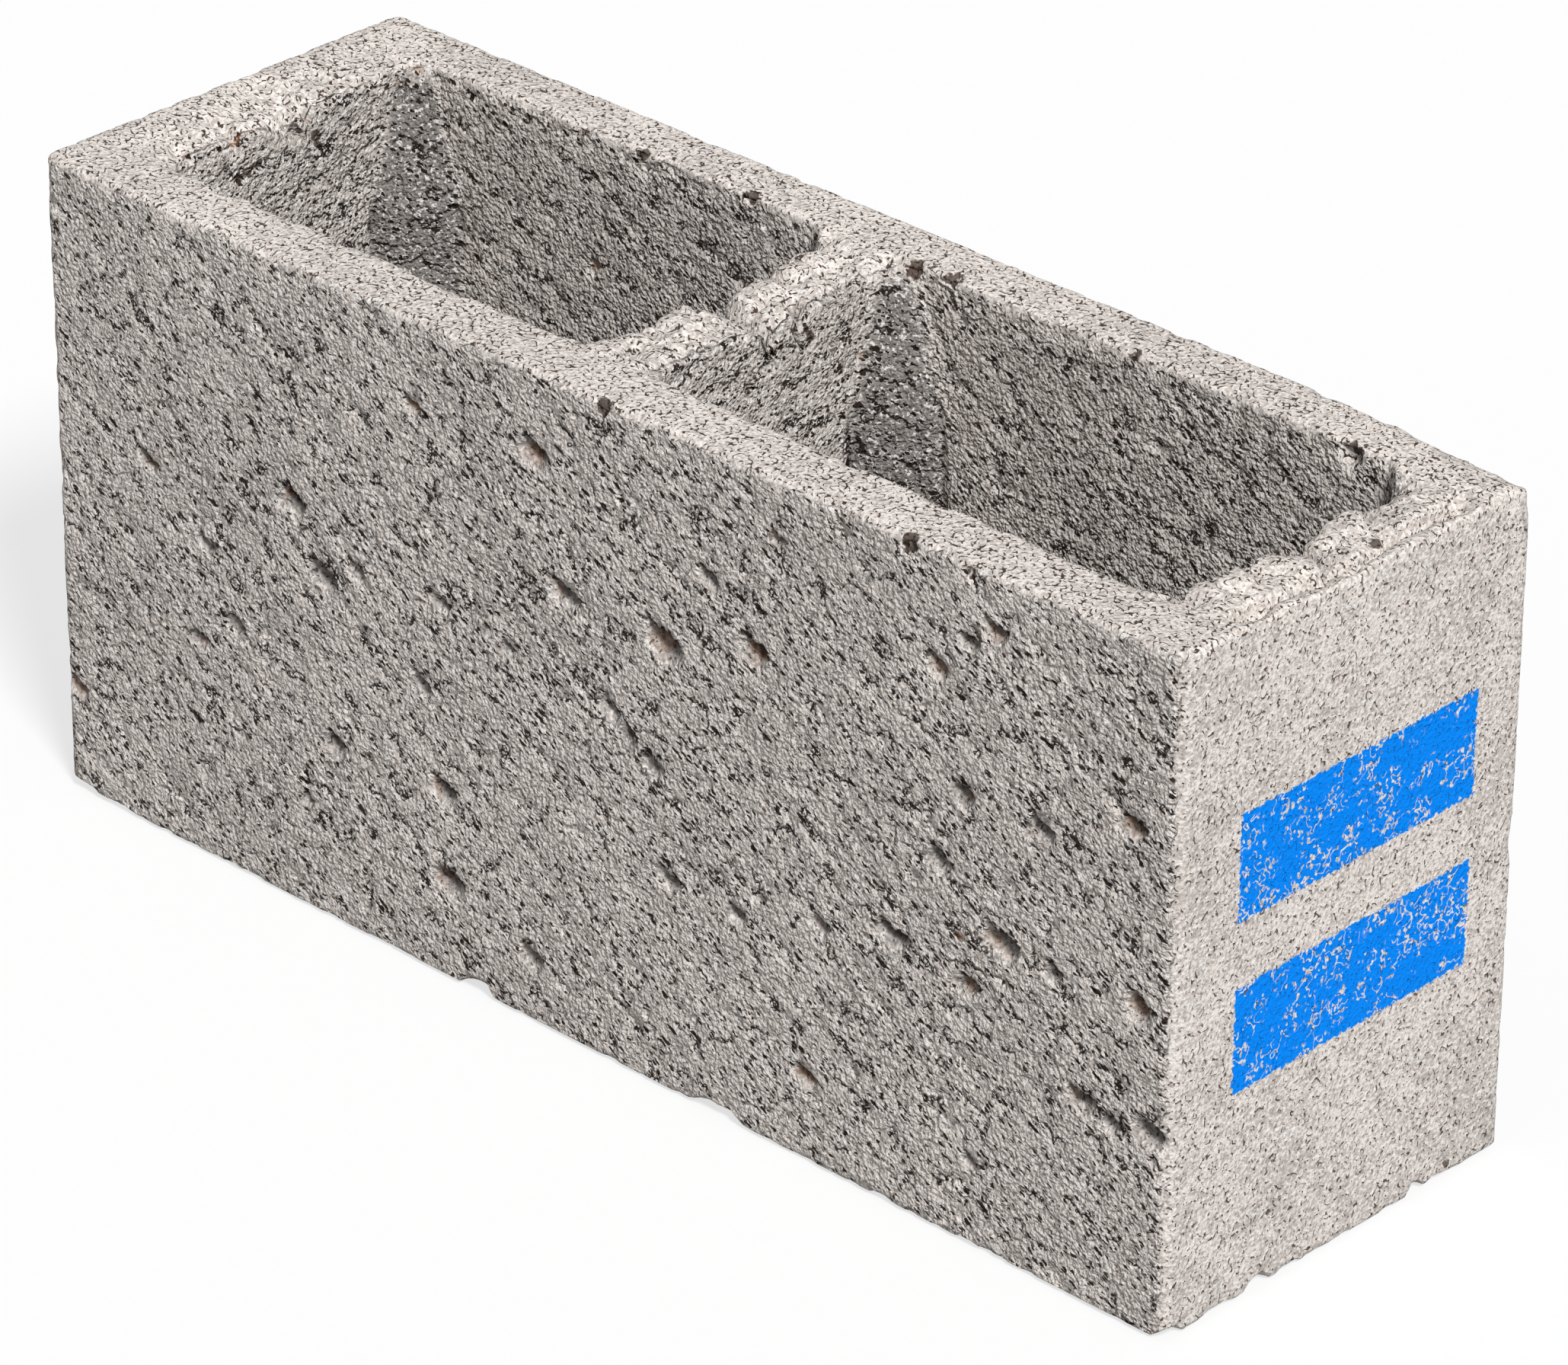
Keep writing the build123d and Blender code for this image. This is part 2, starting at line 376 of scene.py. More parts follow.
def lowerTops(p):
    # the tops of the web and the end walls, worn down between the mounds
    x, y, z = p.T
    high = ramp(z, 172, 183)
    alongCell = ramp(y, block["cellFront"] - 5, block["cellFront"] + 6) * (1 - ramp(y, 40, 50))
    web = ramp(x, -23, -18) * (1 - ramp(x, 3, 8)) * alongCell
    rightInner = ramp(x, 171, 176) * (1 - ramp(x, 196, 199)) * alongCell
    leftInner = (1 - ramp(x, -174, -169)) * ramp(x, -192, -184) * alongCell
    loose = np.maximum.reduce([web, rightInner, 0.8 * leftInner])
    valleys = 1 - ramp(np.abs(softNoise(p, 10, 130)), 0.0, 0.32)
    fineValleys = 1 - ramp(np.abs(softNoise(p, 5, 131)), 0.0, 0.4)
    worn = 0.2 + 0.85 * valleys + 0.45 * fineValleys + 0.4 * softNoise(p, 16, 132)
    drop = loose * skin["crumble"] * worn
    toCell = np.abs(nearestCell(x, y))
    rounded = (1 - ramp(toCell, 0.5, 4.5)) * np.clip(0.55 + 0.9 * softNoise(p, 12, 134), 0, 1)
    drop += loose * 2.0 * rounded
    near = np.flatnonzero((z > 170) & (loose > 0.02))
    crooked = wander(p[near], 6, 1.6, 136)
    cut = np.zeros(len(near))
    for x0, y0, x1, y1, half, deep in clefts:
        away = segmentDistance(crooked[:, 0], crooked[:, 1], x0, y0, x1, y1)
        cut = np.maximum(cut, 1.35 * deep * np.clip(1 - away / half, 0, 1))
    drop[near] += cut

    # rough hollow on the far end wall
    crooked = wander(p, 6, 2.0, 133)
    r = np.hypot((crooked[:, 0] + 189) / 7.5, (crooked[:, 1] - 3) / 11)
    drop += (1 - ramp(r, 0.55, 1.05)) * (0.6 + 1.6 * roughNoise(p, 4.5, 135, 2)) * (x < -178)

    # crevice between the mounds and the outer lip of the near end wall
    centre = 192.8 + 0.9 * np.sin(y * 0.19 + 1.2) + 0.7 * softNoise(p * (0, 1, 0), 6, 141)
    span = ramp(y, -44, -36) * (1 - ramp(y, 42, 50))
    gape = 0.40 + 0.60 * ramp(softNoise(p * (0, 1, 0), 11, 143), -0.4, 0.3)
    drop += (1 - ramp(np.abs(x - centre), 0.7, 2.6)) * span * gape * 3.0
    lip = ramp(x, 193, 195) * span
    drop += lip * (0.4 + 1.5 * np.clip(roughNoise(p * (0.3, 1, 0), 6.5, 145, 2) + 0.3, 0, 1))

    # far back corner of the top, worn down unevenly
    drop += ramp(x, 118, 170) * ramp(y, 50, 60) * np.clip(0.3 + 1.2 * roughNoise(p, 7, 150, 2), 0, 2)
    p[:, 2] -= drop * high
    return p


def biteBottom(p):
    # the uneven bottom edges
    x, y, z = p[:, 0].copy(), p[:, 1].copy(), p[:, 2].copy()
    faces = {"front": (65 + y, x), "back": (65 - y, x), "end": (200 - x, y), "farEnd": (200 + x, y)}
    crooked = 1.2 * roughNoise(p, 5, 170, 2)
    lift = np.zeros(len(p))
    for face, place, half, height in bottomBites:
        fromFace, along = faces[face]
        r = np.abs(along + crooked - place) / half
        part = height * (1 - ramp(r, 0.35, 1.0)) * (1 - ramp(fromFace, 0.5, 6.0))
        lift = np.maximum(lift, part)
    nearest = np.minimum.reduce([faces[k][0] for k in faces])
    lift += 0.8 * np.clip(roughNoise(p, 4.5, 171, 2), 0, 1) * (1 - ramp(nearest, 0.5, 3.5))
    p[:, 2] = z + lift * (1 - ramp(z, 0, 2.2 * lift + 0.5))
    return p


def roundCorner(p):
    # the far back standing edge, worn round near the top
    x, y, z = p.T
    diagonal = 0.707
    worn = 3.2 * ramp(z, 166, 188)
    over = (x * diagonal + y * diagonal) - (187.4 - worn * (1 + 0.2 * roughNoise(p, 7, 180, 2)))
    over = np.where((x > 180) & (y > 50) & (worn > 0.01), np.clip(over, 0, 6), 0)
    p[:, 0] -= over * diagonal
    p[:, 1] -= over * diagonal
    return p


def pointVectors(mesh, kind):
    # the points' places ("co") or normals ("normal")
    values = np.empty(len(mesh.vertices) * 3, np.float32)
    mesh.vertices.foreach_get(kind, values)
    return values.reshape(-1, 3).astype(np.float64)


def throughModifier(mesh, kind, **settings):
    # the mesh after one modifier, as a plain mesh
    holder = bpy.data.objects.new("holder", mesh)
    bpy.context.collection.objects.link(holder)
    modifier = holder.modifiers.new(kind, kind)
    for name, value in settings.items():
        setattr(modifier, name, value)
    graph = bpy.context.evaluated_depsgraph_get()
    result = bpy.data.meshes.new_from_object(holder.evaluated_get(graph))
    bpy.data.objects.remove(holder)
    return result


def weldedCopy(node):
    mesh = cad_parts[node].data.copy()
    work = bmesh.new()
    work.from_mesh(mesh)
    bmesh.ops.remove_doubles(work, verts=work.verts, dist=1e-6)
    bmesh.ops.recalc_face_normals(work, faces=work.faces)
    work.to_mesh(mesh)
    work.free()
    return mesh


def buildSkin():
    plain = weldedCopy("block_body")
    fine = throughModifier(plain, "REMESH", mode="VOXEL", voxel_size=skin["voxel"])
    print("remeshed to", len(fine.vertices), "points")
    p, n = pointVectors(fine, "co") * 1000, pointVectors(fine, "normal")
    flat = onFrontPlane(p)
    p[flat, 1] = -block["halfWidth"]
    n[flat] = (0, -1, 0)
    p -= n * skinDepth(p, n)[:, None]
    p = roundCorner(lowerTops(biteBottom(p)))
    margin = 0.02   # mm inside the solid's box
    p[:, 0] = np.clip(p[:, 0], -block["halfLength"] + margin, block["halfLength"] - margin)
    p[:, 1] = np.clip(p[:, 1], -block["halfWidth"] + margin, block["halfWidth"] - margin)
    p[:, 2] = np.clip(p[:, 2], margin, block["height"] - margin)
    fine.vertices.foreach_set("co", (p / 1000).astype(np.float32).ravel())
    fine.update()
    share = skin["triangles"] / (2 * len(fine.polygons))
    mesh = throughModifier(fine, "DECIMATE", ratio=min(1, share)) if share < 1 else fine
    print("skin has", len(mesh.polygons), "faces")
    return mesh, plain


def markSkin(mesh, plain):
    # values on the points that the material reads
    tree = BVHTree.FromPolygons([v.co for v in plain.vertices], [f.vertices[:] for f in plain.polygons])
    p = pointVectors(mesh, "co") * 1000
    depth, n = np.zeros(len(p)), np.zeros((len(p), 3))
    for i, v in enumerate(mesh.vertices):
        place, normal, _, distance = tree.find_nearest(v.co)
        depth[i] = distance * 1000 * (1 if (v.co - place).dot(normal) < 0 else -1)
        n[i] = normal
    x, y, z = p.T
    share = faceShares(p, n)
    share["front"] = np.where(onFrontPlane(p), 1.0, share["front"])
    # painted shade: inCell darkens the colour inside the cells, nearly twice as much on the walls across
    # the block, and corner darkens their cut corners most
    inCell = insideCells(x, y, 4) * (1 - ramp(z, 183, 188.5)) * (1 - ramp(n[:, 2], 0.4, 0.7))
    facet = ramp(np.minimum(np.abs(n[:, 0]), np.abs(n[:, 1])), 0.35, 0.60)
    facingCell = share["cell"] * (1 - 0.4 * ramp(np.abs(n[:, 0]), 0.75, 0.95))
    inCell = inCell * (1 + 0.9 * ramp(np.abs(n[:, 0]), 0.8, 0.95))
    openFaces = [share["front"], share["back"], facingCell, 0.4 * share["farEnd"]]
    marks = {
        "hollow": depth,
        "open": np.maximum.reduce(openFaces),
        "pitted": share["top"],
        "inCell": inCell,
        "corner": facet * inCell,
        # crease: where the material paints nearly black shade along the cells' corner creases
        "crease": creaseShares(p) * inCell,
    }
    # offsets from the front pits and the small holes, which the material uses for painted shadow at the
    # pits' edges and painted shade in the holes
    onPlane = p.copy()
    onPlane[y < -55, 1] = -block["halfWidth"]
    pitCentres = [(px, -block["halfWidth"], pz, radius) for px, pz, radius, _ in frontPits]
    places = {
        "pit": (wander(onPlane, *pitWander), pitCentres),
        "hole": (p, [hole[:4] for hole in smallHoles]),
    }
    for name, (points, centres) in places.items():
        offset, marks[name + "Near"] = nearestOffset(points, centres)
        layer = mesh.attributes.new(name, "FLOAT_VECTOR", "POINT")
        layer.data.foreach_set("vector", offset.astype(np.float32).ravel())
    for name, values in marks.items():
        layer = mesh.attributes.new(name, "FLOAT", "POINT")
        layer.data.foreach_set("value", values.astype(np.float32))


# Node helpers


def newNode(tree, kind, where=(0, 0), **settings):
    node = tree.nodes.new(kind)
    node.location = where
    for name, value in settings.items():
        setattr(node, name, value)
    return node


def maths(tree, operation, a, b=None, c=None):
    node = tree.nodes.new("ShaderNodeMath")
    node.operation = operation
    for socket, value in zip(node.inputs, (a, b, c)):
        if value is None:
            continue
        if isinstance(value, (int, float)):
            socket.default_value = value
        else:
            tree.links.new(value, socket)
    return node.outputs[0]


def remap(tree, value, low, high, newLow=0.0, newHigh=1.0, smooth=True):
    node = tree.nodes.new("ShaderNodeMapRange")
    node.interpolation_type = "SMOOTHSTEP" if smooth else "LINEAR"
    for name, v in (("From Min", low), ("From Max", high), ("To Min", newLow), ("To Max", newHigh)):
        node.inputs[name].default_value = v
    tree.links.new(value, node.inputs["Value"])
    return node.outputs["Result"]


def mixColour(tree, factor, a, b, blend="MIX"):
    node = tree.nodes.new("ShaderNodeMix")
    node.data_type = "RGBA"
    node.blend_type = blend
    node.clamp_result = False
    ins = [s for s in node.inputs if s.enabled]
    for socket, value in zip(ins, (factor, a, b)):
        if isinstance(value, (int, float)):
            socket.default_value = value
        elif isinstance(value, tuple):
            socket.default_value = (*value, 1.0)
        else:
            tree.links.new(value, socket)
    return [s for s in node.outputs if s.enabled][0]


def noiseAt(tree, vector, size, detail=0.0, rough=0.5):
    # size in mm
    node = newNode(tree, "ShaderNodeTexNoise")
    node.inputs["Scale"].default_value = 1000.0 / size
    node.inputs["Detail"].default_value = detail
    node.inputs["Roughness"].default_value = rough
    tree.links.new(vector, node.inputs["Vector"])
    return node.outputs["Fac"]


def product(tree, *values):
    result = values[0]
    for value in values[1:]:
        result = maths(tree, "MULTIPLY", result, value)
    return result


def newGroup(name, ins, outs):
    tree = bpy.data.node_groups.new(name, "ShaderNodeTree")
    for label, kind, value in ins:
        socket = tree.interface.new_socket(label, in_out="INPUT", socket_type=kind)
        if value is not None:
            socket.default_value = value
    for label, kind in outs:
        tree.interface.new_socket(label, in_out="OUTPUT", socket_type=kind)
    start = newNode(tree, "NodeGroupInput", (-1400, 0))
    end = newNode(tree, "NodeGroupOutput", (1400, 0))
    return tree, start, end


def stepsAt(tree, vector, spacing, bend, noise):
    # depth, 0 to 1, of mould-dragged steps that fall slowly and climb back at once
    fall, climb = 0.84, 0.16
    dot = newNode(tree, "ShaderNodeVectorMath", operation="DOT_PRODUCT")
    dot.inputs[1].default_value = tuple(1000.0 / spacing * c for c in skin["drag"])
    tree.links.new(vector, dot.inputs[0])
    bent = maths(tree, "MULTIPLY_ADD", noise, bend, dot.outputs["Value"])
    place = maths(tree, "FRACT", bent)
    down = maths(tree, "MULTIPLY", place, 1 / fall)
    back = maths(tree, "MULTIPLY_ADD", place, -1 / climb, 1 / climb)
    return maths(tree, "MINIMUM", down, back)


def dashesAt(tree, vector, size, share, half):
    # separate short gaps, drawn out along the streak. size: their spacing in mm along, across
    # and into the face; share: how many places hold one; half: its half length against the spacing
    along = Vector(skin["streak"]).normalized()
    into = Vector((0, 1, 0))
    spaced = newNode(tree, "ShaderNodeCombineXYZ")
    for axis, direction, step in zip("XYZ", (along, along.cross(into), into), size):
        dot = newNode(tree, "ShaderNodeVectorMath", operation="DOT_PRODUCT")
        dot.inputs[1].default_value = direction * (1000.0 / step)
        tree.links.new(vector, dot.inputs[0])
        tree.links.new(dot.outputs["Value"], spaced.inputs[axis])
    cells = newNode(tree, "ShaderNodeTexVoronoi", voronoi_dimensions="3D", feature="F1")
    cells.inputs["Scale"].default_value = 1.0
    tree.links.new(spaced.outputs[0], cells.inputs["Vector"])
    pick = newNode(tree, "ShaderNodeSeparateColor")
    tree.links.new(cells.outputs["Color"], pick.inputs[0])
    reach = remap(tree, pick.outputs[0], 1 - share, 1.0, 0.0, half, smooth=False)
    return maths(tree, "SUBTRACT", reach, cells.outputs["Distance"])


# Grain of the faces, sizes in mm
grain = {
    "smallGaps": {"size": (2.5, 0.92, 1.6), "share": 0.85, "half": 0.47},
    "largeGaps": {"size": (6.4, 1.9, 3.4), "share": 0.40, "half": 0.36},
    "raggedSize": 1.5,      # lumps that make the gaps ragged
    "raggedPush": 1.3,      # how far they push them
    "stepSpacing": 10.0,
    "stepBend": 1.7,
    "windingSize": 2.2,
    "gritSize": 1.1,
    "crowdSize": 7.0,       # patches with more and fewer gaps
}


def gritGroup():
    # height of the cast grain, painted shade for its dark crevices and painted highlights for their pale
    # rims. Openness runs from a tight face to an open one, and Pitting says how many small marks a tight
    # face has
    tree, start, end = newGroup(
        "castGrain",
        [("Vector", "NodeSocketVector", None), ("Openness", "NodeSocketFloat", 1.0),
         ("Pitting", "NodeSocketFloat", 0.5)],
        [("Height", "NodeSocketFloat"), ("Crevice", "NodeSocketFloat"), ("RimHighlight", "NodeSocketFloat")],
    )
    vector, openness = start.outputs["Vector"], start.outputs["Openness"]
    ragged = newNode(tree, "ShaderNodeTexNoise")
    ragged.inputs["Scale"].default_value = 1000.0 / grain["raggedSize"]
    ragged.inputs["Detail"].default_value = 1.0
    tree.links.new(vector, ragged.inputs["Vector"])
    shift = newNode(tree, "ShaderNodeVectorMath", operation="MULTIPLY_ADD")
    shift.inputs[1].default_value = (grain["raggedPush"] / 1000.0,) * 3
    tree.links.new(ragged.outputs["Color"], shift.inputs[0])
    tree.links.new(vector, shift.inputs[2])
    warped = shift.outputs[0]

    small = dashesAt(tree, warped, **grain["smallGaps"])
    large = dashesAt(tree, warped, **grain["largeGaps"])
    broad = noiseAt(tree, vector, grain["crowdSize"], 1.0)
    crowd = remap(tree, broad, 0.36, 0.62, -0.05, 0.06)
    small = maths(tree, "ADD", small, crowd)
    tight = maths(tree, "SUBTRACT", 1.0, openness)
    fewer = maths(tree, "MULTIPLY_ADD", start.outputs["Pitting"], -0.16, 0.34)
    level = maths(tree, "MULTIPLY", tight, fewer)
    smallCut = remap(tree, maths(tree, "SUBTRACT", small, level), -0.02, 0.03)
    largeCut = maths(tree, "MULTIPLY", remap(tree, large, 0.0, 0.05), openness)

    # long sparse crevices along some of the broadest steps
    bend = maths(tree, "MULTIPLY_ADD", ragged.outputs["Fac"], 0.5, broad)
    longStep = stepsAt(tree, vector, grain["stepSpacing"], grain["stepBend"], bend)
    gate = noiseAt(tree, vector, 6.0)
    showLong = maths(tree, "MULTIPLY", remap(tree, gate, 0.56, 0.60), openness)
    cutLong = product(tree, remap(tree, longStep, 0.86, 0.92), showLong)

    # short winding marks on the tight faces
    bent = noiseAt(tree, vector, grain["windingSize"])
    winding = maths(tree, "ABSOLUTE", maths(tree, "SUBTRACT", bent, 0.5))
    winding = remap(tree, winding, 0.020, 0.065, 1.0, 0.0)
    grit = noiseAt(tree, vector, grain["gritSize"], 1.0)
    pick = maths(tree, "MULTIPLY_ADD", start.outputs["Pitting"], 0.075, grit)
    winding = maths(tree, "MULTIPLY", winding, remap(tree, pick, 0.560, 0.60))
    winding = maths(tree, "MULTIPLY", winding, tight)
    gaps = maths(tree, "MAXIMUM", smallCut, largeCut)
    lines = maths(tree, "MAXIMUM", cutLong, winding)
    # the crevices' mask, where the material paints shade
    tree.links.new(maths(tree, "MAXIMUM", gaps, lines), end.inputs["Crevice"])

    # painted highlight: a pale rim just outside each small gap, on the open faces
    outer, inner = remap(tree, small, -0.10, -0.03), remap(tree, small, 0.0, -0.03)
    tree.links.new(product(tree, outer, inner, openness), end.inputs["RimHighlight"])

    height = maths(tree, "MULTIPLY", product(tree, longStep, remap(tree, gate, 0.50, 0.60)), -0.8)
    height = maths(tree, "MULTIPLY", height, openness)
    lumpHeight = maths(tree, "MULTIPLY", openness, 1.3)
    height = maths(tree, "MULTIPLY_ADD", ragged.outputs["Fac"], lumpHeight, height)
    gritHeight = maths(tree, "MULTIPLY_ADD", openness, 0.75, 0.45)
    height = maths(tree, "MULTIPLY_ADD", grit, gritHeight, height)
    height = maths(tree, "MULTIPLY_ADD", winding, -0.36, height)
    tree.links.new(height, end.inputs["Height"])
    return tree


def speckleGroup():
    # pale and dark grains of sand, and slow clouds in the cement's grey
    tree, start, end = newGroup(
        "sandSpeckle",
        [("Vector", "NodeSocketVector", None)],
        [("Tone", "NodeSocketFloat"), ("Pale", "NodeSocketFloat"), ("Dark", "NodeSocketFloat")],
    )
    vector = start.outputs["Vector"]
    clouds = noiseAt(tree, vector, 45.0, 1.0)
    patches = noiseAt(tree, vector, 7.0, 1.0)
    grains = noiseAt(tree, vector, 1.2, 1.0, 0.7)
    tone = maths(tree, "MULTIPLY", clouds, 0.30)
    tone = maths(tree, "MULTIPLY_ADD", patches, 0.35, tone)
    tone = maths(tree, "MULTIPLY_ADD", grains, 0.35, tone)
    mottle = remap(tree, noiseAt(tree, vector, 0.9), 0.35, 0.65, -0.11, 0.11, smooth=False)
    tone = maths(tree, "ADD", tone, mottle)
    tree.links.new(tone, end.inputs["Tone"])
    tree.links.new(remap(tree, grains, 0.57, 0.63), end.inputs["Pale"])
    tree.links.new(remap(tree, grains, 0.42, 0.36), end.inputs["Dark"])
    return tree


def paintGroup():
    # worn paint: 1 where it is left, with small winding gaps
    tree, start, end = newGroup(
        "wornPaint",
        [("Vector", "NodeSocketVector", None), ("Edge", "NodeSocketFloat", 0.0)],
        [("Mask", "NodeSocketFloat")],
    )
    vector = start.outputs["Vector"]
    ragged = noiseAt(tree, vector, 1.6, 1.0)
    rough = maths(tree, "SUBTRACT", ragged, 0.5)
    edge = maths(tree, "MULTIPLY_ADD", rough, 2.4, start.outputs["Edge"])
    solid = remap(tree, edge, 0.0, 0.25)
    winding = maths(tree, "ABSOLUTE", maths(tree, "SUBTRACT", noiseAt(tree, vector, 3.3, 1.0), 0.5))
    gap = remap(tree, winding, 0.012, 0.030, 1.0, 0.0)
    worn = noiseAt(tree, vector, 9.0, 2.0)
    gap = maths(tree, "MULTIPLY", gap, remap(tree, worn, 0.47, 0.53))
    spot = product(tree, remap(tree, ragged, 0.62, 0.66), remap(tree, worn, 0.42, 0.5))
    left = maths(tree, "SUBTRACT", 1.0, maths(tree, "MAXIMUM", gap, spot))
    tree.links.new(maths(tree, "MULTIPLY", solid, left), end.inputs["Mask"])
    return tree


# Colours of the concrete and strengths of its shading
concrete = {
    "light": (0.790, 0.725, 0.672),
    "dark": (0.556, 0.506, 0.468),
    "tightLift": 0.99,      # the tight faces against the open ones
    # paleGrainAndHighlight: the pale sand grains, and also the painted highlight on the rims of the gaps
    "paleGrainAndHighlight": (0.82, 0.80, 0.78),
    "darkGrain": (0.30, 0.27, 0.25),
    # painted shade: crevice in the crevices, the creases and at the pits' edges, brownCrevice in the
    # crevices of the end and the top
    "crevice": (0.020, 0.012, 0.009),
    "brownCrevice": (0.105, 0.066, 0.048),
    # painted shade, dark brown, in the small holes
    "holeShade": (0.055, 0.032, 0.023),
    "rust": (0.50, 0.22, 0.09),
    "paint": (0.0, 0.245, 0.93),
    # painted shade: cellShade inside the cells, facetShade on their cut corners, hollowShade in deep
    # hollows, pitShade on the front pits' floors
    "cellShade": -0.10,
    "facetShade": -0.55,    # the cut corners of the cells
    "hollowShade": -0.45,
    "pitShade": -0.20,
    "specular": 0.06,
    "roughness": 0.92,
    "paintRoughness": 0.6,
    "bumpDistance": 0.00125,
}

# Two plain painted bars on the near end face: centre height, half height and half width in mm
bars = {"heights": (124.0, 76.0), "halfHeight": 15.0, "halfWidth": 44.0, "centreY": 2.0}


def pitShade(tree, offset, near, ragged):
    # 0 to 1, from the offset in radii, for painted shade: the shadow that gathers towards a pit's edge,
    # the edge itself, painted nearly black, and the floor, painted a little darker
    turnU, turnW = pitTurn
    crook = 0.45
    place = newNode(tree, "ShaderNodeSeparateXYZ")
    tree.links.new(offset, place.inputs[0])
    u = maths(tree, "MULTIPLY_ADD", ragged, crook, place.outputs["X"])
    w = maths(tree, "MULTIPLY_ADD", ragged, crook, place.outputs["Z"])
    across = maths(tree, "MULTIPLY_ADD", u, turnU, maths(tree, "MULTIPLY", w, turnW))
    along = maths(tree, "MULTIPLY_ADD", u, turnW, maths(tree, "MULTIPLY", w, -turnU))
    along = maths(tree, "ABSOLUTE", along)
    before = maths(tree, "MULTIPLY", remap(tree, across, 0.62, 0.56), remap(tree, near, 0.3, 0.6))
    deeper = remap(tree, across, -0.50, 0.30, smooth=False)
    gather = product(tree, deeper, before, remap(tree, along, 0.90, 0.30))
    edge = product(tree, remap(tree, across, 0.28, 0.36), before, remap(tree, along, 0.95, 0.75))
    floor = product(tree, remap(tree, across, -0.8, -0.3), before, remap(tree, along, 0.9, 0.5))
    return maths(tree, "POWER", gather, 1.3), edge, floor


def concreteMaterial(grit, speckle, paint):
    material = bpy.data.materials.new("castConcrete")
    material.use_nodes = True
    tree = material.node_tree
    tree.nodes.clear()
    out = newNode(tree, "ShaderNodeOutputMaterial", (1600, 0))
    shader = newNode(tree, "ShaderNodeBsdfPrincipled", (1300, 0))
    shader.inputs["Specular IOR Level"].default_value = concrete["specular"]
    tree.links.new(shader.outputs[0], out.inputs["Surface"])
    coords = newNode(tree, "ShaderNodeTexCoord", (-1600, 0)).outputs["Object"]
    place = newNode(tree, "ShaderNodeSeparateXYZ", (-1400, -200))
    tree.links.new(coords, place.inputs[0])
    mark = {}
    vectors = ("pit", "hole")
    values = ("hollow", "open", "pitted", "inCell", "corner", "crease", "pitNear", "holeNear")
    for name in vectors + values:
        node = newNode(tree, "ShaderNodeAttribute", (-1400, -500))
        node.attribute_name = name
        mark[name] = node.outputs["Vector" if name in vectors else "Fac"]

    # the pale tight skin of the top and the near end turns over their edges in a ragged line
    wobble = maths(tree, "SUBTRACT", noiseAt(tree, coords, 6.0, 2.0, 0.6), 0.5)
    fineWobble = maths(tree, "SUBTRACT", noiseAt(tree, coords, 1.7, 1.0), 0.5)
    topWobble, endWobble = maths(tree, "MULTIPLY", wobble, 6.0), maths(tree, "MULTIPLY", wobble, 4.0)
    overTop = maths(tree, "MULTIPLY_ADD", place.outputs["Z"], 1000.0, topWobble)
    overEnd = maths(tree, "MULTIPLY_ADD", place.outputs["X"], 1000.0, endWobble)
    topCrust, endCrust = remap(tree, overTop, 187.7, 188.3), remap(tree, overEnd, 197.3, 197.9)
    bare = maths(tree, "SUBTRACT", 1.0, maths(tree, "MAXIMUM", topCrust, endCrust))
    openFace = maths(tree, "MULTIPLY", remap(tree, mark["open"], 0.15, 0.55), bare)

    cast = newNode(tree, "ShaderNodeGroup", (-900, 200), node_tree=grit)
    tree.links.new(coords, cast.inputs["Vector"])
    shadow, pitEdge, pitFloor = pitShade(tree, mark["pit"], mark["pitNear"], fineWobble)
    grained = maths(tree, "MULTIPLY", openFace, maths(tree, "MULTIPLY_ADD", pitFloor, -0.8, 1.0))
    tree.links.new(grained, cast.inputs["Openness"])
    tree.links.new(mark["pitted"], cast.inputs["Pitting"])
    sand = newNode(tree, "ShaderNodeGroup", (-900, -200), node_tree=speckle)
    tree.links.new(coords, sand.inputs["Vector"])

    tone = remap(tree, sand.outputs["Tone"], 0.38, 0.62)
    colour = mixColour(tree, tone, concrete["dark"], concrete["light"])
    lifted = mixColour(tree, 1.0, colour, (concrete["tightLift"],) * 3, "MULTIPLY")
    colour = mixColour(tree, openFace, lifted, colour)
    # painted shade: darker inside the cells, darker still on their cut corners, in the deepest hollows
    # and on the front pits' floors
    shade = maths(tree, "MULTIPLY_ADD", mark["inCell"], concrete["cellShade"], 1.0)
    shade = maths(tree, "MULTIPLY_ADD", mark["corner"], concrete["facetShade"], shade)
    deepest = remap(tree, mark["hollow"], 2.5, 7.5)
    shade = maths(tree, "MULTIPLY_ADD", deepest, concrete["hollowShade"], shade)
    shade = maths(tree, "MULTIPLY_ADD", pitFloor, concrete["pitShade"], shade)
    darkened = newNode(tree, "ShaderNodeVectorMath", operation="SCALE")
    tree.links.new(colour, darkened.inputs[0])
    tree.links.new(shade, darkened.inputs["Scale"])
    colour = darkened.outputs[0]
    # pale and dark sand grains, then the painted highlight of the pale rims beside the gaps
    for value, strength, tint in ((sand.outputs["Pale"], 0.75, "paleGrainAndHighlight"),
                                  (sand.outputs["Dark"], 0.45, "darkGrain"),
                                  (cast.outputs["RimHighlight"], 0.55, "paleGrainAndHighlight")):
        colour = mixColour(tree, maths(tree, "MULTIPLY", value, strength), colour, concrete[tint])

    # crevices, in painted shade: nearly black on the open faces, brown on the end and dark brown on the
    # top
    blackness = maths(tree, "MAXIMUM", openFace, maths(tree, "MULTIPLY", mark["pitted"], 0.5))
    creviceColour = mixColour(tree, blackness, concrete["brownCrevice"], concrete["crevice"])
    crevice = maths(tree, "MULTIPLY", cast.outputs["Crevice"], 0.98)
    colour = mixColour(tree, crevice, colour, creviceColour)
    # painted shade, nearly black, along the cracked lower parts of the cells' corner creases
    crease = maths(tree, "MULTIPLY", mark["crease"], 0.85)
    colour = mixColour(tree, crease, colour, concrete["crevice"])

